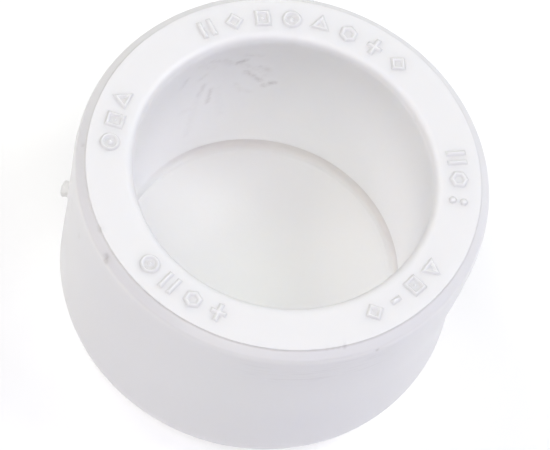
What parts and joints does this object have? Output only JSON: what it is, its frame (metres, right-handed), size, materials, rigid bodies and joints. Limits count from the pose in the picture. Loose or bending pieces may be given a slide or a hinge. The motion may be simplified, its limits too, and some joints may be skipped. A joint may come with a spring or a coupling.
{
  "type": "pipe end cap",
  "caption": "Round white plastic end cap with a deep blind socket that closes the end of a pipe, with raised marks around its flat rim.",
  "frame": {"origin": "centre of the closed end's flat outer face", "axes": "+Z along the cap's axis, from the closed end to the mouth; the gate remnant is on the -X side"},
  "size_m": [0.0337, 0.0334, 0.0202],
  "materials": {
    "cap_plastic": "moulded, satin",
    "mark_plastic": "moulded, satin",
    "gate_plastic": "torn, matte"
  },
  "bodies": {
    "root": {"cap_body": "cap_plastic", "maker_marks": "mark_plastic", "class_marks": "mark_plastic", "material_marks": "mark_plastic", "type_marks": "mark_plastic", "size_marks": "mark_plastic", "gate_nub": "gate_plastic"}
  },
  "joints": []
}
